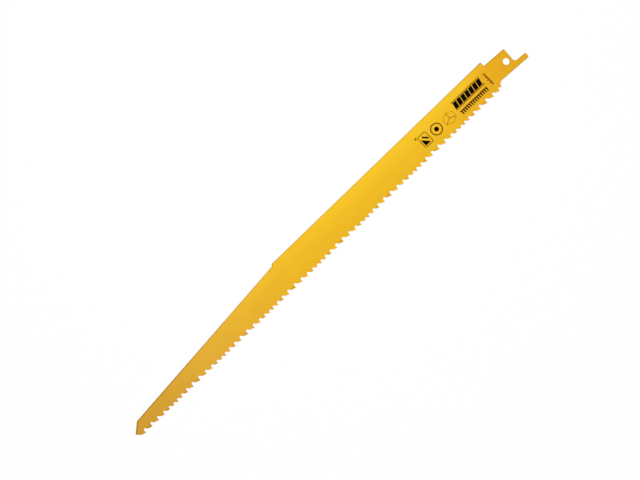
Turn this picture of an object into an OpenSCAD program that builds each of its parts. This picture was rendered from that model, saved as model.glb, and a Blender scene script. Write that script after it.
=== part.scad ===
// Reciprocating saw blade for wood, lying flat on its side.
// One piece of strip steel: a canted half-inch tang with a pin hole and a prong, a straight body,
// a stepped back that tapers to a pointed nose, and set teeth whose pitch swells and shrinks.
// The origin is the centre of the pin hole, halfway through the steel.
// +X runs to the nose, +Y to the teeth and +Z up out of the printed face.

/* [Blade] */
// Overall length, from the end of the prong to the point of the nose
overall_length = 305; // [230:0.1:330]
// Height from the back edge to the tips of the teeth
body_height = 19.05; // [17:0.05:22]
// Height from the back edge to the centre of the pin hole
back_to_pin = 9.7; // [9:0.1:11]
// Thickness of the steel
thickness = 1.27; // [0.9:0.01:1.6]
// Bevel that breaks the long edges of the back, the nose and the tang
edge_break = 0.2; // [0.05:0.01:0.35]

/* [Tang] */
// Width of the tang
tang_width = 12.6; // [11:0.1:13]
// Angle of the tang to the body, with its end swung towards the teeth
tang_cant = 3.1; // [0:0.1:5]
// Diameter of the pin hole
pin_hole_d = 3.9; // [3.6:0.1:5]
// Distance from the pin hole's centre to the end of the tang's wide part
lobe_reach = 3.5; // [3.2:0.1:5]
// Distance from the pin hole's centre to the end of the prong
prong_reach = 11.4; // [9:0.1:14]
// Width of the prong
prong_width = 3.1; // [2:0.1:4]
// Radius in the corner between the prong and the wide part
notch_radius = 2; // [1:0.1:3]
// Radius on the corner of the tang's wide part
tang_corner_radius = 0.7; // [0.2:0.1:1.2]
// Radius on the two corners of the prong's end
prong_corner_radius = 0.9; // [0.2:0.1:1.2]
// Distance from the pin hole's centre to the shoulder on the back
shoulder_reach = 10.8; // [9:0.1:14]
// Radius on the corner of the shoulder and in its foot
shoulder_radius = 0.4; // [0.2:0.1:1]
// Distance from the pin hole's centre to the start of the toothed edge
runout_reach = 11.8; // [10:0.1:13]
// Radius of the run-out that joins the tang to the toothed edge
runout_radius = 3; // [2:0.1:3.5]

/* [Back and nose] */
// Distance from the nose to the step in the back
step_from_nose = 120.8; // [90:0.1:150]
// Depth of the step
step_drop = 1.1; // [0.5:0.05:2]
// Slope of the step
step_angle = 55; // [30:1:70]
// Angle at which the back tapers from the step to the nose
taper_angle = 4.9; // [3:0.1:5.4]
// Height from the tips of the teeth to the point of the nose
nose_height = 3.25; // [2.2:0.1:5]
// Slope of the nose's cut on the side of the back
nose_back_angle = 40; // [32:1:50]
// Slope of the nose's cut on the side of the teeth
nose_front_angle = 45; // [38:1:52]
// Radius on the point of the nose
nose_radius = 0.4; // [0.2:0.1:0.8]

/* [Teeth] */
// Distance from the pin hole's centre to the tip of the first tooth
first_tooth = 13.9; // [13.5:0.1:20]
// Pitch where the teeth stand closest
fine_pitch = 2.95; // [2.6:0.05:4]
// Pitch where the teeth stand widest
coarse_pitch = 5.08; // [4.2:0.01:6]
// Teeth in one cycle of fine to coarse and back, one of them unset
cycle_teeth = 9; // [5:1:13]
// Depth of a gullet, as a share of the pitch in front of its tooth
gullet_depth_ratio = 0.46; // [0.4:0.01:0.5]
// Radius in the bottom of every gullet
gullet_radius = 0.8; // [0.5:0.05:0.9]
// Slope of the steep lower back of a tooth
flank_angle = 50; // [45:1:60]
// Slope of the relief behind a tip
relief_angle = 19; // [12:1:24]
// Sideways set of a tooth at its tip
tooth_set = 0.25; // [0.1:0.01:0.4]
// Height over which a tooth is bent, as a share of the shallower gullet beside it
bend_share = 0.8; // [0.5:0.01:0.9]

/* [Hidden] */

$fn = 96;
paint = "#EDB526";
// Distance that cutting shapes run past what they cut
clear = 1;
// How far a tooth's straight back runs into the round of its gullet, so that the two cross
bite = 0.01;

back_y = -back_to_pin;
tip_y = body_height - back_to_pin;
// The prong's corners never take up its whole end
prong_round = min(prong_corner_radius, 0.45 * prong_width);
// The canted prong's round inner corner reaches furthest from the nose
prong_end_x = (prong_round - prong_reach) * cos(tang_cant) - prong_round
    + (tang_width / 2 - prong_width + prong_round) * sin(tang_cant);
nose_end_x = overall_length + prong_end_x;
// Half the angle between the nose's two cuts, and the lean of the line midway between them
nose_half_angle = 90 - (nose_back_angle + nose_front_angle) / 2;
nose_lean = (nose_back_angle - nose_front_angle) / 2;
// Where the two cuts would meet, with the point not yet rounded
nose_x = nose_end_x + nose_radius * (cos(nose_lean) / sin(nose_half_angle) - 1);
nose_y = tip_y - nose_height;
step_x = nose_end_x - step_from_nose;
step_foot_x = step_x + step_drop / tan(step_angle);
step_foot_y = back_y + step_drop;
// Where the taper meets the nose's cut on the side of the back
nose_back_x = (nose_y - step_foot_y - nose_x * tan(nose_back_angle) + step_foot_x * tan(taper_angle))
    / (tan(taper_angle) - tan(nose_back_angle));
nose_back_y = nose_y - (nose_x - nose_back_x) * tan(nose_back_angle);
// Where the nose's front cut crosses the line of the tips
nose_front_x = nose_x - nose_height / tan(nose_front_angle);

// The tang's long edges stand half its width from the pin hole, square to the cant
tang_half = tang_width / 2;
function tang_front_y(x) = (tang_half - x * sin(tang_cant)) / cos(tang_cant);
function tang_back_y(x) = (-tang_half - x * sin(tang_cant)) / cos(tang_cant);
notch_depth = tang_width - prong_width;
runout_x = runout_reach - runout_radius;
runout_y = tang_front_y(runout_x) + runout_radius / cos(tang_cant);

// Place 0 in a cycle stands before the closest pitch. From there the pitch grows by equal steps
// to the middle of the cycle, where the unset tooth stands, and then shrinks again.
first_place = 3;
unset_place = floor(cycle_teeth / 2);
pitch_step = (coarse_pitch - fine_pitch) / unset_place;
function place(i) = (i + first_place) % cycle_teeth;
function pitch(i) = fine_pitch + pitch_step * min(place(i), cycle_teeth - place(i));
function tooth_x(i) = i == 0 ? first_tooth : tooth_x(i - 1) + pitch(i - 1);
function teeth_from(i) = tooth_x(i) > nose_front_x ? i : teeth_from(i + 1);
teeth = teeth_from(0);
last_tooth = teeth - 1;
function gullet_depth(i) = gullet_depth_ratio * pitch(i - 1);

// From one unset tooth to the next, the teeth lean down and up in turn
function past_unset(i) = (place(i) - unset_place + cycle_teeth) % cycle_teeth;
function side(i) = past_unset(i) == 0 ? 0 : (past_unset(i) % 2 == 0 ? 1 : -1);
function bend_height(i) = bend_share * min(gullet_depth(i), gullet_depth(i + 1));
// Level of the deepest gullet's bottom, up to which the whole strip is flat
flat_y = tip_y - gullet_depth_ratio * coarse_pitch;
// Gap between the leaning fingers of steel, in the middle of a gullet
strip_gap = gullet_radius / 4;

// What a round corner of this radius takes off, with the corner at the origin and steel at +X +Y
module corner_waste(radius) {
    difference() {
        translate([-clear, -clear])
            square(radius + clear);
        translate([radius, radius])
            circle(radius);
    }
}

// Tang along its own axis: a bar with the hook's notch taken out beside the prong
module tang_profile() {
    rotate(-tang_cant) {
        difference() {
            translate([-prong_reach, -tang_half])
                square([prong_reach + runout_reach + clear, tang_width]);
            notch();
            translate([-prong_reach, tang_half - prong_width])
                corner_waste(prong_round);
            translate([-prong_reach, tang_half])
                rotate(-90)
                    corner_waste(prong_round);
            translate([-lobe_reach, -tang_half])
                corner_waste(tang_corner_radius);
        }
    }
}

// Space beside the prong, with a round inner corner
module notch() {
    inner_y = tang_half - prong_width;
    translate([-prong_reach - clear, -tang_half - clear])
        square([prong_reach - lobe_reach - notch_radius + clear, notch_depth + clear]);
    translate([-prong_reach - clear, -tang_half - clear])
        square([prong_reach - lobe_reach + clear, notch_depth - notch_radius + clear]);
    translate([-lobe_reach - notch_radius, inner_y - notch_radius])
        circle(notch_radius);
}

// Concave foot that joins the tang's front edge to the start of the toothed edge
module runout() {
    difference() {
        translate([runout_x, tang_front_y(runout_x) - clear])
            square([runout_radius + clear, runout_y - tang_front_y(runout_x) + clear]);
        translate([runout_x, runout_y])
            circle(runout_radius);
    }
}

// Small concave foot under the shoulder
module shoulder_foot() {
    foot_x = shoulder_reach - shoulder_radius;
    foot_y = tang_back_y(foot_x) - shoulder_radius / cos(tang_cant);
    difference() {
        translate([foot_x, foot_y])
            square([shoulder_radius + clear, shoulder_radius + clear]);
        translate([foot_x, foot_y])
            circle(shoulder_radius);
    }
}

// Body before the teeth are cut: back, step, taper and nose
module body_profile() {
    difference() {
        polygon([
            [shoulder_reach, back_y],
            [step_x, back_y],
            [step_foot_x, step_foot_y],
            [nose_back_x, nose_back_y],
            [nose_x, nose_y],
            [nose_front_x - clear / tan(nose_front_angle), tip_y + clear],
            [runout_reach, tip_y + clear],
            [runout_reach, 0],
            [shoulder_reach, 0]
        ]);
        translate([shoulder_reach, back_y])
            corner_waste(shoulder_radius);
        nose_waste();
    }
}

// What the round point takes off the corner between the nose's two cuts
module nose_waste() {
    chord_x = -nose_radius * cos(nose_half_angle) / tan(nose_half_angle);
    translate([nose_x, nose_y])
        rotate(nose_lean)
            difference() {
                translate([chord_x, -clear])
                    square([clear - chord_x, 2 * clear]);
                translate([bite - nose_radius / sin(nose_half_angle), 0])
                    circle(nose_radius);
            }
}

// Gullet in front of tooth i and the back of the tooth before it.
// Its rake face stands square to the line of the tips, at the tip of tooth i.
module gullet(i) {
    depth = gullet_depth(i);
    gap = pitch(i - 1);
    centre_y = gullet_radius - depth;
    foot_radius = gullet_radius - bite;
    foot_x = -gullet_radius - foot_radius * sin(flank_angle);
    foot_y = centre_y - foot_radius * cos(flank_angle);
    heel_x = (foot_y + foot_x * tan(flank_angle) + gap * tan(relief_angle))
        / (tan(flank_angle) - tan(relief_angle));
    heel_y = -(heel_x + gap) * tan(relief_angle);
    translate([tooth_x(i), tip_y]) {
        translate([-gullet_radius, centre_y])
            circle(gullet_radius);
        polygon([
            [0, 2 * clear],
            [0, centre_y],
            [-gullet_radius, centre_y],
            [foot_x, foot_y],
            [heel_x, heel_y],
            [-gap - clear, clear * tan(relief_angle)],
            [-gap - clear, 2 * clear]
        ]);
    }
}

// Relief behind the last tip, which runs out at the nose
module last_relief() {
    reach = nose_x - tooth_x(last_tooth) + clear;
    translate([tooth_x(last_tooth), tip_y])
        polygon([
            [-clear, 2 * clear],
            [-clear, clear * tan(relief_angle)],
            [reach, -reach * tan(relief_angle)],
            [reach, 2 * clear]
        ]);
}

// Whole outline of the blade
module blade_profile() {
    difference() {
        union() {
            body_profile();
            tang_profile();
            runout();
            shoulder_foot();
        }
        for (i = [0 : last_tooth])
            gullet(i);
        last_relief();
    }
}

// Steel of tooth i, flat up to its own bend line and leaning over from there.
// The leaning finger ends inside the gullets on both sides, and the flat root runs on past them.
module tooth_strip(i) {
    half = thickness / 2;
    bend_y = tip_y - bend_height(i);
    top = bend_height(i) + clear;
    lean = side(i) * tooth_set * top / bend_height(i);
    start = tooth_x(i) - gullet_radius + strip_gap / 2;
    end = i < last_tooth ? tooth_x(i + 1) - gullet_radius - strip_gap / 2 : nose_x + clear;
    translate([start - strip_gap, flat_y - clear, -half])
        cube([end - start + 2 * strip_gap, bend_y - flat_y + clear, thickness]);
    translate([start, bend_y, 0])
        rotate([90, 0, 90])
            linear_extrude(height = end - start)
                polygon([
                    [-clear, -half],
                    [0, -half],
                    [top, lean - half],
                    [top, lean + half],
                    [0, half],
                    [-clear, half]
                ]);
}

// The strip of steel after setting: flat up to the deepest gullet, and then tooth by tooth
module set_strip() {
    far_back = back_y - clear;
    translate([-prong_reach - clear, far_back, -thickness / 2]) {
        cube([overall_length + 3 * clear, flat_y - far_back, thickness]);
        cube([prong_reach + first_tooth - gullet_radius + clear, body_height + 2 * clear, thickness]);
    }
    for (i = [0 : last_tooth])
        tooth_strip(i);
}

// Bevels both faces along the edge from one point to the other, with the steel on its right
module break_edge(from, to) {
    run = to - from;
    translate(from)
        rotate(atan2(run.y, run.x))
            for (face = [0, 1])
                mirror([0, 0, face])
                    translate([0, 0, thickness / 2])
                        rotate([90, 0, 90])
                            linear_extrude(height = norm(run))
                                polygon([
                                    [-edge_break - clear, clear],
                                    [clear, -edge_break - clear],
                                    [clear, clear]
                                ]);
}

module broken_edges() {
    break_edge([nose_x, nose_y], [nose_back_x, nose_back_y]);
    break_edge([nose_back_x, nose_back_y], [step_foot_x, step_foot_y]);
    break_edge([step_x, back_y], [shoulder_reach + shoulder_radius, back_y]);
    rotate(-tang_cant) {
        break_edge(
            [shoulder_reach - 2 * shoulder_radius, -tang_half],
            [tang_corner_radius - lobe_reach, -tang_half]
        );
        break_edge([prong_round - prong_reach, tang_half], [runout_x, tang_half]);
    }
}

// The outline cut through the set strip, then the pin hole and the broken edges
module blade() {
    color(paint)
        difference() {
            intersection() {
                linear_extrude(height = thickness + 2 * tooth_set + clear, center = true)
                    blade_profile();
                set_strip();
            }
            cylinder(h = thickness + 2 * clear, d = pin_hole_d, center = true);
            broken_edges();
        }
}

blade();
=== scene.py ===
"""Looks of a reciprocating saw blade: yellow enamel on strip steel, with marks printed on it in ink.

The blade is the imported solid. This script paints it, prints it, and adds the floor, the lights and
the camera. +X runs to the nose, +Y to the teeth and +Z out of the printed face.
"""

import math

import bmesh
import bpy
from mathutils import Matrix, Vector


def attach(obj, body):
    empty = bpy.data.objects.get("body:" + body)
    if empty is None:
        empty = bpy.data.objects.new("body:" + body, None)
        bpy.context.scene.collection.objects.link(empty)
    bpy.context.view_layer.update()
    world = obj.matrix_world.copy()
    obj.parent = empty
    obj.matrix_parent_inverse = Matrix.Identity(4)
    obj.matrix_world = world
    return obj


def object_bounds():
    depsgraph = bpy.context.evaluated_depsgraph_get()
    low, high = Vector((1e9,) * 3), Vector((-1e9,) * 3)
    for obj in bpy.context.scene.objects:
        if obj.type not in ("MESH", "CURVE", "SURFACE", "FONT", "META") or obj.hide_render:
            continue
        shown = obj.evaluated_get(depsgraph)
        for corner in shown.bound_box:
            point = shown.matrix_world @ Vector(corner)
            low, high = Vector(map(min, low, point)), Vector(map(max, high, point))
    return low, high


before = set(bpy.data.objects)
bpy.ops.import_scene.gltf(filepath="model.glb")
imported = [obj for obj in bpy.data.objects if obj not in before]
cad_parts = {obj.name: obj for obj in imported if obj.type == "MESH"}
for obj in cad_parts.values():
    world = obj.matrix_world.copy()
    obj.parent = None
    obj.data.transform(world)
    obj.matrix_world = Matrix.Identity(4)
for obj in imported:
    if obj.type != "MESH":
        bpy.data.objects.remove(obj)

cad_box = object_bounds()

# A millimetre, in the scene's metres
MM = 0.001

# Where the photograph shows the pin hole, in pixels from its top left corner, and how it turns
# and scales the blade
PHOTO_SIZE = (640, 480)
HOLE_PX = (506.3, 61.4)
BLADE_TURN = math.radians(44.01)
MM_PER_PX = 0.5588

# The camera's lens and sensor, in millimetres, and the range that it sees, in metres
LENS = 100.0
SENSOR = 36.0
CLIP_NEAR = 0.01
CLIP_FAR = 20.0

# The steel, in millimetres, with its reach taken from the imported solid
LOW_CORNER, HIGH_CORNER = (corner / MM for corner in cad_box)
PRONG_X = LOW_CORNER.x
LENGTH = HIGH_CORNER.x - LOW_CORNER.x
BACK_Y = LOW_CORNER.y
TIPS_Y = HIGH_CORNER.y
THICKNESS = 1.27
FACE_Z = THICKNESS / 2
BACK_START = (11.2, BACK_Y)
BACK_EARLY = (30.0, BACK_Y)
STEP_TOP = (173.0, BACK_Y)
STEP_FOOT = (173.8, -8.6)
TAPER = math.tan(math.radians(4.9))
NOSE_POINT = (293.8, 6.1)
NOSE_FRONT = (290.9, 9.0)
TANG_BACK_START = (-3.1, -6.1)
TANG_BACK_END = (10.4, -6.9)
PRONG_START = (-10.5, 3.75)
PRONG_END = (-5.6, 3.5)


def on_taper(x):
    """Point on the tapered stretch of the back."""
    return (x, STEP_FOOT[1] + (x - STEP_FOOT[0]) * TAPER)


TAPER_MIDDLE = on_taper(215.0)
TAPER_LATE = on_taper(245.0)
NOSE_BACK = on_taper(288.0)


def linear(hex_colour):
    """Linear RGBA of a hex colour, by the sRGB curve."""
    channels = [int(hex_colour[i : i + 2], 16) / 255 for i in (1, 3, 5)]
    return (*(c / 12.92 if c <= 0.04045 else ((c + 0.055) / 1.055) ** 2.4 for c in channels), 1.0)


def grey(level):
    """Linear RGBA of a grey."""
    return (level, level, level, 1.0)


WHITE = grey(1.0)


def add(tree, kind, inputs=None, stops=(), **settings):
    """Adds a shader node. Inputs are values, or sockets to link. Stops are those of a colour ramp."""
    made = tree.nodes.new("ShaderNode" + kind)
    for name, value in settings.items():
        setattr(made, name, value)
    for socket, value in (inputs or {}).items():
        if isinstance(value, bpy.types.NodeSocket):
            tree.links.new(value, made.inputs[socket])
        else:
            made.inputs[socket].default_value = value
    for _ in stops[2:]:
        made.color_ramp.elements.new(1.0)
    for element, (position, colour) in zip(made.color_ramp.elements if stops else (), stops):
        element.position = position
        element.color = colour
    return made


# Sockets of a Mix node that mixes colours
MIX_A = 6
MIX_B = 7
MIX_RESULT = 2


def new_material(name):
    """An empty material, its tree, and the object's own coordinates in millimetres."""
    material = bpy.data.materials.new(name)
    material.use_nodes = True
    tree = material.node_tree
    tree.nodes.clear()
    own = add(tree, "TexCoord")
    place = add(tree, "VectorMath", {0: own.outputs["Object"], "Scale": 1 / MM}, operation="SCALE")
    return material, tree, place.outputs[0]


def finish_material(material, tree, shader):
    """Links the shader to the material's output."""
    output = add(tree, "OutputMaterial")
    tree.links.new(shader.outputs[0], output.inputs["Surface"])
    return material


def strongest(tree, masks):
    """The largest of several masks."""
    most = masks[0]
    for mask in masks[1:]:
        most = add(tree, "Math", {0: most, 1: mask}, operation="MAXIMUM").outputs[0]
    return most


# Baked yellow enamel sprayed on strip steel, semi-gloss with a faint orange peel. Its colour holds a
# painted highlight, brightest along the middle of the blade, that falls off to a darker, warmer yellow
# on the tang and towards the nose, and painted shade in brown on walls, bevels and back edges. Each
# colour of the body and of the shank stands at its place along the blade, in millimetres.
BODY_COAT_AND_HIGHLIGHT = [
    (30, "#F7C62B"),
    (55, "#F3C32A"),
    (110, "#EFC028"),
    (170, "#F3BE2B"),
    (230, "#F8C343"),
    (294, "#EDB541"),
]
SHANK_COAT_AND_FALLOFF = [(-11, "#E9AD22"), (0, "#EAAC21"), (10, "#EBAD22"), (18, "#EAAF22")]

# The shank's colour turns into the body's across a slanted line, where x - SHANK_SLANT * y goes
# from SHANK_LEAVES to SHANK_GONE
SHANK_SLANT = 1.53
SHANK_LEAVES = 17.3
SHANK_GONE = 42.2

# Painted highlight across the body, lightest at its back, at 0, and darker towards the tips of its
# teeth, at 1, and how strong it is at places along the blade
ACROSS_HIGHLIGHT = [(0.0, "#FFFFFF"), (0.45, "#F7F1E0"), (0.88, "#F4EBE3"), (0.97, "#F4E6DB")]
HIGHLIGHT_STRENGTH = [(110, 1.0), (170, 0.72), (230, 0.95)]

# Soft clouds of this size, in millimetres, make the coat lighter and darker by up to this share
MOTTLE_MM = 9.0
MOTTLE_SHARE = 0.045

# Teeth that lean away from the face get painted shade, a darker tint. The Y part of their normal shows
# the lean.
BENT_SHADE = "#F6EDE3"
BENT_FROM = 0.04
BENT_FULL = 0.12

# Painted shade is brown. It darkens walls and bevels, as the Z part of their normal falls from
# WALL_FROM to WALL_FULL, and the rims of the shaded edges, each given as start, end and share.
PAINTED_EDGE_SHADE = "#9C6410"
WALL_FROM = 0.9
WALL_FULL = 0.75
WALL_SHARE = 0.7
RIM_REACH = 1.0
RIM_CORE = 0.2
RIM_SHARE = 0.75
SHADED_EDGES = [
    (BACK_START, BACK_EARLY, 0.5),
    (BACK_EARLY, STEP_TOP, 0.3),
    (STEP_TOP, STEP_FOOT, 0.8),
    (STEP_FOOT, TAPER_MIDDLE, 0.35),
    (TAPER_MIDDLE, TAPER_LATE, 0.55),
    (TAPER_LATE, NOSE_BACK, 0.85),
    (NOSE_BACK, NOSE_POINT, 1.0),
    (NOSE_POINT, NOSE_FRONT, 0.3),
    (TANG_BACK_START, TANG_BACK_END, 0.5),
    (PRONG_START, PRONG_END, 0.5),
]

# Specks in the coat, and nicks through it to the steel, each as a centre and a radius. Those on the
# back are listed by their place along it and their radius, and lie just inside its edge.
SPECK_BROWN = "#6E4E18"
SPECKS = [((3.4, 0.7), 0.45), ((162.1, -3.9), 0.28), ((105.6, -3.4), 0.25)]
NICK_STEEL = "#7C7464"
PRONG_NICKS = [((-8.5, 3.8), 0.45), ((-7.4, 3.75), 0.4)]
TANG_NICKS = [((-2.2, -6.05), 0.45), ((1.9, -6.3), 0.3), ((4.9, -6.45), 0.35), ((6.7, -6.55), 0.25)]
HOLE_NICKS = [((-1.95, -0.5), 0.5), ((-1.8, 0.85), 0.5), ((-0.9, 1.8), 0.45), ((0.6, 1.95), 0.4)]
BACK_NICK_LIST = [
    (13.7, 0.3),
    (14.8, 0.3),
    (120.4, 0.35),
    (127.2, 0.25),
    (148.4, 0.3),
    (150.4, 0.35),
    (152.4, 0.35),
    (155.0, 0.25),
    (158.0, 0.3),
]
BACK_NICK_INSET = 0.1
BACK_NICKS = [((x, BACK_Y + BACK_NICK_INSET), radius) for x, radius in BACK_NICK_LIST]
TAPER_AND_NOSE_NICKS = [((190.1, -7.15), 0.3), ((290.2, 3.2), 0.5)]

# Gloss, and the size and depth of the orange peel and of the grain, in millimetres
GLOSS_TINT = "#FFD23C"
COAT_IOR = 1.5
COAT_ROUGHNESS = 0.42
ROUGHNESS_SWING = 0.06
PEEL_MM = 0.9
PEEL_DEPTH = 0.006
GRAIN_MM = 0.25
GRAIN_DEPTH = 0.0015


def stops_along(marks, make_colour):
    """Stops of a ramp along the blade, from places in millimetres and what make_colour takes."""
    return [((x - PRONG_X) / LENGTH, make_colour(mark)) for x, mark in marks]


def coat_with_painted_highlight(tree, place):
    """Colour of the coat with its painted highlight and falloff, on the body and on the shank."""
    axes = add(tree, "SeparateXYZ", {0: place})
    along = add(
        tree, "MapRange",
        {"Value": axes.outputs["X"], "From Min": PRONG_X, "From Max": PRONG_X + LENGTH},
    )
    across = add(
        tree, "MapRange", {"Value": axes.outputs["Y"], "From Min": BACK_Y, "From Max": TIPS_Y}
    )
    coat = add(tree, "ValToRGB", {0: along.outputs[0]}, stops_along(BODY_COAT_AND_HIGHLIGHT, linear))
    across_highlight = add(
        tree, "ValToRGB", {0: across.outputs[0]},
        [(share, linear(colour)) for share, colour in ACROSS_HIGHLIGHT],
    )
    strength = add(tree, "ValToRGB", {0: along.outputs[0]}, stops_along(HIGHLIGHT_STRENGTH, grey))
    body = add(
        tree, "Mix", {0: strength.outputs[0], MIX_A: coat.outputs[0], MIX_B: across_highlight.outputs[0]},
        data_type="RGBA", blend_type="MULTIPLY",
    )
    shank = add(tree, "ValToRGB", {0: along.outputs[0]}, stops_along(SHANK_COAT_AND_FALLOFF, linear))
    slanted = add(tree, "VectorMath", {0: place, 1: (1, -SHANK_SLANT, 0)}, operation="DOT_PRODUCT")
    past_shank = add(
        tree, "MapRange",
        {"Value": slanted.outputs["Value"], "From Min": SHANK_LEAVES, "From Max": SHANK_GONE},
        interpolation_type="SMOOTHSTEP",
    )
    return add(
        tree, "Mix",
        {0: past_shank.outputs[0], MIX_A: shank.outputs[0], MIX_B: body.outputs[MIX_RESULT]},
        data_type="RGBA",
    ).outputs[MIX_RESULT]


def bent_away_shade(tree, facing):
    """Mask of the painted shade on the teeth that lean away from the face."""
    return add(
        tree, "MapRange",
        {"Value": facing.outputs["Y"], "From Min": BENT_FROM, "From Max": BENT_FULL},
        interpolation_type="SMOOTHSTEP",
    ).outputs[0]


def edge_line(tree, place, start, end):
    """Mask that is 1 along a straight edge, given in millimetres, and fades out beside it."""
    run = Vector(end) - Vector(start)
    along = run.normalized()
    offset = add(tree, "VectorMath", {0: place, 1: (*start, 0)}, operation="SUBTRACT").outputs[0]
    aside = add(tree, "VectorMath", {0: offset, 1: (-along.y, along.x, 0)}, operation="DOT_PRODUCT")
    apart = add(tree, "Math", {0: aside.outputs["Value"]}, operation="ABSOLUTE")
    near = add(
        tree, "MapRange", {"Value": apart.outputs[0], "From Min": RIM_REACH, "From Max": RIM_CORE},
        interpolation_type="SMOOTHSTEP",
    )
    travel = add(tree, "VectorMath", {0: offset, 1: (along.x, along.y, 0)}, operation="DOT_PRODUCT")
    half = run.length / 2
    within = add(
        tree, "Math", {0: travel.outputs["Value"], 1: half, 2: half + RIM_REACH / 2},
        operation="COMPARE",
    )
    return add(tree, "Math", {0: near.outputs[0], 1: within.outputs[0]}, operation="MULTIPLY").outputs[0]


def edge_shade_mask(tree, place, facing):
    """Mask of the painted shade, on all walls and bevels and on the rims of the shaded edges."""
    level = add(tree, "Math", {0: facing.outputs["Z"]}, operation="ABSOLUTE")
    wall = add(
        tree, "MapRange",
        {"Value": level.outputs[0], "From Min": WALL_FROM, "From Max": WALL_FULL, "To Max": WALL_SHARE},
    )
    rims = []
    for start, end, share in SHADED_EDGES:
        line = edge_line(tree, place, start, end)
        rims.append(add(tree, "Math", {0: line, 1: share}, operation="MULTIPLY").outputs[0])
    rim = add(tree, "Math", {0: strongest(tree, rims), 1: RIM_SHARE}, operation="MULTIPLY")
    return strongest(tree, [wall.outputs[0], rim.outputs[0]])


def ragged_spots(tree, place, ragged, spots):
    """Mask of small ragged spots on the printed face, given as centres and radii in millimetres."""
    masks = []
    for centre, radius in spots:
        apart = add(tree, "VectorMath", {0: place, 1: (*centre, FACE_Z)}, operation="DISTANCE")
        mask = add(
            tree, "MapRange",
            {"Value": apart.outputs["Value"], "From Min": radius, "From Max": radius / 2},
        )
        masks.append(mask.outputs[0])
    whole = strongest(tree, masks)
    return add(tree, "Math", {0: whole, 1: ragged.outputs[0]}, operation="MULTIPLY").outputs[0]


def enamel():
    """The coat on the whole blade."""
    material, tree, place = new_material("yellow_enamel")
    facing = add(tree, "SeparateXYZ", {0: add(tree, "TexCoord").outputs["Normal"]})
    cloud = add(tree, "TexNoise", {"Vector": place, "Scale": 1 / MOTTLE_MM, "Detail": 3.0})
    ragged = add(tree, "TexNoise", {"Vector": place, "Scale": 1 / GRAIN_MM, "Detail": 2.0})
    peel = add(tree, "TexNoise", {"Vector": place, "Scale": 1 / PEEL_MM, "Detail": 1.0})

    mottle = add(
        tree, "MapRange",
        {"Value": cloud.outputs[0], "To Min": 1 - MOTTLE_SHARE, "To Max": 1 + MOTTLE_SHARE},
    )
    nicks = PRONG_NICKS + TANG_NICKS + HOLE_NICKS + BACK_NICKS + TAPER_AND_NOSE_NICKS
    # Painted shade darkens the bent teeth and the walls, bevels and back edges. The specks and nicks are
    # the coat's own.
    layers = [
        (1.0, mottle.outputs[0], "MULTIPLY"),
        (bent_away_shade(tree, facing), linear(BENT_SHADE), "MULTIPLY"),
        (edge_shade_mask(tree, place, facing), linear(PAINTED_EDGE_SHADE), "MIX"),
        (ragged_spots(tree, place, ragged, SPECKS), linear(SPECK_BROWN), "MIX"),
        (ragged_spots(tree, place, ragged, nicks), linear(NICK_STEEL), "MIX"),
    ]
    # The base colour carries the painted highlight along and across the blade.
    colour = coat_with_painted_highlight(tree, place)
    for share, layer, blend in layers:
        colour = add(
            tree, "Mix", {0: share, MIX_A: colour, MIX_B: layer}, data_type="RGBA", blend_type=blend
        ).outputs[MIX_RESULT]

    shape = add(tree, "Bump", {"Height": peel.outputs[0], "Distance": PEEL_DEPTH * MM})
    shape = add(
        tree, "Bump",
        {"Height": ragged.outputs[0], "Distance": GRAIN_DEPTH * MM, "Normal": shape.outputs[0]},
    )
    rough = add(
        tree, "MapRange",
        {
            "Value": cloud.outputs[0],
            "To Min": COAT_ROUGHNESS - ROUGHNESS_SWING,
            "To Max": COAT_ROUGHNESS + ROUGHNESS_SWING,
        },
    )
    shader = add(
        tree, "BsdfPrincipled",
        {
            "Base Color": colour,
            "Roughness": rough.outputs[0],
            "IOR": COAT_IOR,
            "Specular Tint": linear(GLOSS_TINT),
            "Normal": shape.outputs[0],
        },
    )
    return finish_material(material, tree, shader)


# Pad-printed ink, a thin matt film. It is black and dense in the middle of a bold mark and thins to
# brown at the mark's rim and in fine lines, where the yellow shows through it. Each ink has a colour
# for its thick patches and one for its thin ones, and noise between the two levels spreads them.
DENSE_INK = ("#020201", "#0C0703")
FINE_INK = ("#4C1E05", "#8C400B")
FAINT_INK = ("#98480B", "#B05C0C")
THICK_LEVEL = 0.45
THIN_LEVEL = 0.75
INK_ROUGHNESS = 0.6
INK_SHINE = 0.02


def ink(name, thick, thin):
    """An ink with the colours of its thick and thin patches."""
    material, tree, place = new_material(name)
    cover = add(tree, "TexNoise", {"Vector": place, "Scale": 1 / GRAIN_MM, "Detail": 3.0})
    colour = add(
        tree, "ValToRGB", {0: cover.outputs[0]},
        [(THICK_LEVEL, linear(thick)), (THIN_LEVEL, linear(thin))],
    )
    shader = add(
        tree, "BsdfPrincipled",
        {"Base Color": colour.outputs[0], "Roughness": INK_ROUGHNESS, "Specular IOR Level": INK_SHINE},
    )
    return finish_material(material, tree, shader)


# The print, in millimetres: its marks lie on the face, a film's thickness proud of it
INK_PROUD = 0.012
INK_ROOT = 0.02
BOLD_RIM = 0.14
LINE_WIDTH = 0.36
BAND_LEFT = 17.2
BAND_RIGHT = 38.9
BAND_LOW = -4.1
BAND_HIGH = -0.1
RULE_WIDTH = 0.42
RULES_Y = (-4.6, 0.35)
TARGET = (54.3, 0.1)
FRAME_LEFT = 59.8
FRAME_RIGHT = 66.0
FRAME_HIGH = 3.8


def new_object(name, data):
    """Puts new data into the scene as an object."""
    made = bpy.data.objects.new(name, data)
    bpy.context.scene.collection.objects.link(made)
    return made


def flat_mark(marks, corners):
    """A flat face through these corners."""
    face = marks.faces.new([marks.verts.new((*corner, 0)) for corner in corners])
    face.normal_update()


def bar(marks, left, right, low, high, slant=0.0):
    """A flat bar, whose upper side is shifted by slant."""
    flat_mark(marks, [(left, low), (right, low), (right + slant, high), (left + slant, high)])


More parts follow.
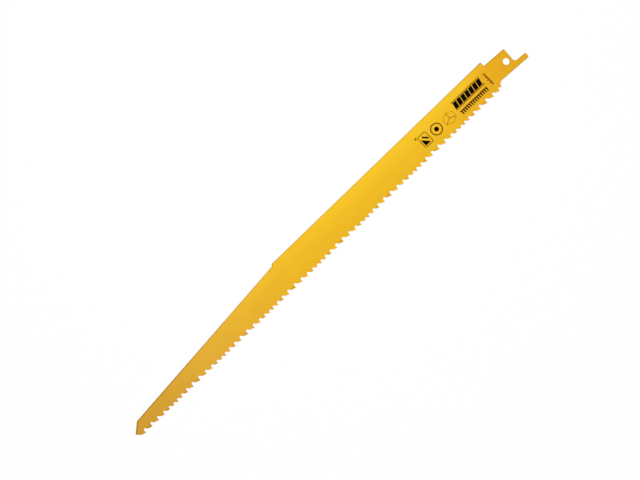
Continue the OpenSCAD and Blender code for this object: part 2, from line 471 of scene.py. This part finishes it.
def rim_of(marks, faces, width):
    """Leaves of each face only a rim of the given width."""
    bmesh.ops.inset_individual(marks, faces=faces, thickness=width, use_even_offset=True)
    bmesh.ops.delete(marks, geom=faces, context="FACES_ONLY")


def middle_of(marks, width):
    """Takes a rim of the given width off each mark."""
    rims = bmesh.ops.inset_individual(
        marks, faces=marks.faces[:], thickness=width, use_even_offset=True
    )
    bmesh.ops.delete(marks, geom=rims["faces"], context="FACES")
    return marks


def round_face(marks, sides, scale, centre):
    """A flat face with this many sides, scaled and moved into its place."""
    place = Matrix.Translation((*centre, 0)) @ Matrix.Diagonal((*scale, 1, 1))
    made = bmesh.ops.create_circle(marks, cap_ends=True, segments=sides, radius=1, matrix=place)
    return list({face for vert in made["verts"] for face in vert.link_faces})


def print_piece(name, marks, finish):
    """Turns flat marks into a closed film on the face, as one piece."""
    lift = bmesh.ops.extrude_face_region(marks, geom=marks.faces[:], use_keep_orig=True)
    raised = [item for item in lift["geom"] if isinstance(item, bmesh.types.BMVert)]
    bmesh.ops.translate(marks, verts=raised, vec=(0, 0, INK_ROOT + INK_PROUD))
    bmesh.ops.translate(marks, verts=marks.verts[:], vec=(0, 0, FACE_Z - INK_ROOT))
    bmesh.ops.scale(marks, verts=marks.verts[:], vec=(MM, MM, MM))
    bmesh.ops.recalc_face_normals(marks, faces=marks.faces[:])
    mesh = bpy.data.meshes.new(name)
    marks.to_mesh(mesh)
    marks.free()
    mesh.materials.append(finish)
    piece = new_object(name, mesh)
    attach(piece, "root")


def rules():
    """A thin rule on each side of the band."""
    marks = bmesh.new()
    for middle in RULES_Y:
        bar(marks, BAND_LEFT, BAND_RIGHT, middle - RULE_WIDTH / 2, middle + RULE_WIDTH / 2)
    return marks


def slanted_band():
    """Bold slanted bars."""
    bars = 7
    slant = 0.8
    margin = 0.3
    bold_share = 0.88
    pitch = (BAND_RIGHT - BAND_LEFT - slant) / bars
    marks = bmesh.new()
    for i in range(bars):
        left = BAND_LEFT + margin + i * pitch
        bar(marks, left, left + bold_share * pitch, BAND_LOW, BAND_HIGH, slant)
    return marks


def tooth_row():
    """A row of small sawteeth that stand on a bar."""
    teeth = 14
    left = 17.9
    right = 38.2
    low = 2.2
    root = 2.7
    tip = 4.8
    root_share = 0.72
    tip_share = 0.5
    rake = 0.1
    pitch = (right - left) / teeth
    marks = bmesh.new()
    bar(marks, left, right, low, root)
    for i in range(teeth):
        start = left + i * pitch
        flank = [(start + root_share * pitch, root), (start + tip_share * pitch, tip)]
        flat_mark(marks, [(start, root), *flank, (start + rake, tip)])
    return marks


def tick_column():
    """A column of short and long ticks, like a plain scale."""
    ticks = 12
    left = 13.4
    first = -3.7
    pitch = 0.68
    half_width = 0.24
    long_tick = 1.6
    short_tick = 1.1
    marks = bmesh.new()
    for i in range(ticks):
        y = first + i * pitch
        length = long_tick if i % 3 == 0 else short_tick
        bar(marks, left, left + length, y - half_width, y + half_width)
    return marks


def block_outline():
    """Outline of a plain block, as three four-sided faces that meet at a corner."""
    half_line = LINE_WIDTH / 2
    half_size = (4.4, 3.6)
    centre = (44.8, 0.7)
    marks = bmesh.new()
    block = round_face(marks, 6, half_size, centre)
    border = bmesh.ops.inset_region(marks, faces=block, thickness=half_line, use_even_offset=True)
    middle = bmesh.ops.poke(marks, faces=block)["verts"][0]
    corners = [edge for edge in middle.link_edges if edge.other_vert(middle).index % 2]
    bmesh.ops.dissolve_edges(marks, edges=corners)
    rim_of(marks, [face for face in marks.faces if face not in border["faces"]], half_line)
    return marks


def target_ring():
    """A ring round the dot."""
    radius = 3.6
    width = 0.6
    sides = 64
    marks = bmesh.new()
    rim_of(marks, round_face(marks, sides, (radius, radius), TARGET), width)
    return marks


def target_dot():
    """A bold dot in the ring."""
    radius = 1.4
    sides = 32
    marks = bmesh.new()
    round_face(marks, sides, (radius, radius), TARGET)
    return marks


def round_frame():
    """A round-cornered frame."""
    corner = 1.2
    marks = bmesh.new()
    bar(marks, FRAME_LEFT, FRAME_RIGHT, -FRAME_HIGH, FRAME_HIGH)
    bmesh.ops.bevel(
        marks, geom=marks.verts[:], offset=corner, segments=6, profile=0.5, affect="VERTICES",
        material=-1,
    )
    rim_of(marks, marks.faces[:], LINE_WIDTH)
    return marks


def filled_corner():
    """A bold corner with a stripe along it, in the frame."""
    margin = 1.0
    right = FRAME_RIGHT - margin
    high = FRAME_HIGH - margin
    side_x = 4.0
    side_y = 4.3
    stripe_start = Vector((60.5, 0.2))
    stripe_run = Vector((2.6, -2.8))
    stripe_width = Vector((0.7, 0.7))
    stripe_end = stripe_start + stripe_run
    marks = bmesh.new()
    flat_mark(marks, [(right - side_x, high), (right, high), (right, high - side_y)])
    flat_mark(
        marks, [stripe_start + stripe_width, stripe_start, stripe_end, stripe_end + stripe_width]
    )
    return marks


def dash_pair():
    """Two short dashes past the frame's corner."""
    gap = 0.1
    left = FRAME_RIGHT + gap
    length = 1.3
    width = 0.45
    lows = (-4.5, -3.8)
    marks = bmesh.new()
    for low in lows:
        bar(marks, left, left + length, low, low + width)
    return marks


BOLD_PRINT = {
    "print_slanted_band": slanted_band,
    "print_tooth_row": tooth_row,
    "print_target_dot": target_dot,
    "print_filled_corner": filled_corner,
}
FINE_PRINT = {
    "print_rules": rules,
    "print_tick_column": tick_column,
    "print_target_ring": target_ring,
    "print_round_frame": round_frame,
    "print_dash_pair": dash_pair,
}
FAINT_PRINT = {
    "print_block_outline": block_outline,
}


def paint_blade():
    """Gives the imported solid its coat."""
    coat = enamel()
    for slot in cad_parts["blade"].material_slots:
        slot.material = coat


def print_blade():
    """Prints all marks. A bold one has a dense middle and a rim of fine ink."""
    dense_ink = ink("black_print_ink", *DENSE_INK)
    fine_ink = ink("brown_print_ink", *FINE_INK)
    faint_ink = ink("faint_brown_print_ink", *FAINT_INK)
    for name, draw in BOLD_PRINT.items():
        print_piece(name, middle_of(draw(), BOLD_RIM), dense_ink)
        rim = draw()
        rim_of(rim, rim.faces[:], BOLD_RIM)
        print_piece(name + "_rim", rim, fine_ink)
    for finish, prints in ((fine_ink, FINE_PRINT), (faint_ink, FAINT_PRINT)):
        for name, draw in prints.items():
            print_piece(name, draw(), finish)


# The studio, in metres and watts. The camera, gloss and glass see plain white all round. On the
# floor they see it by FLOOR_PLAIN_SHARE, and the rest shows the blade's shadow.
FLOOR_PLAIN_SHARE = 0.975
FLOOR_HALF = 3.0
FLOOR_GAP = 0.00001
KEY_PLACE = (0.095, -0.1, 0.32)
KEY_AIM = (0.105, 0.0, 0.0)
KEY_SIZE = 0.16
KEY_POWER = 0.68
WORLD_LEVEL = 0.45


def plain_rays(tree):
    """Mask of the rays that see plain white."""
    path = add(tree, "LightPath")
    names = ("Is Camera Ray", "Is Glossy Ray", "Is Transmission Ray")
    return strongest(tree, [path.outputs[name] for name in names])


def floor_paper():
    """Matt white paper, which takes a soft shadow and has no gloss."""
    material, tree, _ = new_material("white_paper_floor")
    seen = add(tree, "Math", {0: plain_rays(tree), 1: FLOOR_PLAIN_SHARE}, operation="MULTIPLY")
    paper = add(tree, "BsdfDiffuse", {"Color": WHITE})
    glow = add(tree, "Emission", {"Color": WHITE, "Strength": 1.0})
    shader = add(tree, "MixShader", {0: seen.outputs[0], 1: paper.outputs[0], 2: glow.outputs[0]})
    return finish_material(material, tree, shader)


def lay_floor():
    """A plain floor, just under the teeth that are bent down."""
    under = Matrix.Translation((0, 0, cad_box[0].z - FLOOR_GAP))
    ground = bmesh.new()
    bmesh.ops.create_grid(ground, x_segments=1, y_segments=1, size=FLOOR_HALF, matrix=under)
    mesh = bpy.data.meshes.new("floor")
    ground.to_mesh(mesh)
    ground.free()
    mesh.materials.append(floor_paper())
    floor = new_object("floor", mesh)


def set_camera():
    """Straight above the blade, turned and spaced so that the frame shows it as the photograph does."""
    right = Vector((-math.cos(BLADE_TURN), math.sin(BLADE_TURN), 0))
    down = Vector((math.sin(BLADE_TURN), math.cos(BLADE_TURN), 0))
    middle = (PHOTO_SIZE[0] / 2 - HOLE_PX[0]) * right + (PHOTO_SIZE[1] / 2 - HOLE_PX[1]) * down
    distance = LENS / SENSOR * PHOTO_SIZE[0] * MM_PER_PX
    data = bpy.data.cameras.new("camera")
    data.lens = LENS
    data.sensor_width = SENSOR
    data.clip_start = CLIP_NEAR
    data.clip_end = CLIP_FAR
    camera = new_object("camera", data)
    turn = Matrix((right, -down, (0, 0, 1))).transposed()
    place = middle * MM_PER_PX + Vector((0, 0, FACE_Z + distance))
    camera.matrix_world = Matrix.Translation(place * MM) @ turn.to_4x4()
    bpy.context.scene.camera = camera


def set_lights():
    """One softbox over the blade, and even light all round."""
    data = bpy.data.lights.new("key_softbox", "AREA")
    data.shape = "SQUARE"
    data.size = KEY_SIZE
    data.energy = KEY_POWER
    key = new_object("key_softbox", data)
    key.location = KEY_PLACE
    key.rotation_euler = (Vector(KEY_AIM) - Vector(KEY_PLACE)).to_track_quat("-Z", "Y").to_euler()

    world = bpy.data.worlds.new("studio")
    bpy.context.scene.world = world
    world.use_nodes = True
    tree = world.node_tree
    tree.nodes.clear()
    level = add(tree, "MapRange", {"Value": plain_rays(tree), "To Min": WORLD_LEVEL, "To Max": 1.0})
    sky = add(tree, "Background", {"Color": WHITE, "Strength": level.outputs[0]})
    output = add(tree, "OutputWorld")
    tree.links.new(sky.outputs[0], output.inputs["Surface"])


paint_blade()
print_blade()
lay_floor()
set_camera()
set_lights()
bpy.context.scene.view_settings.view_transform = "Standard"
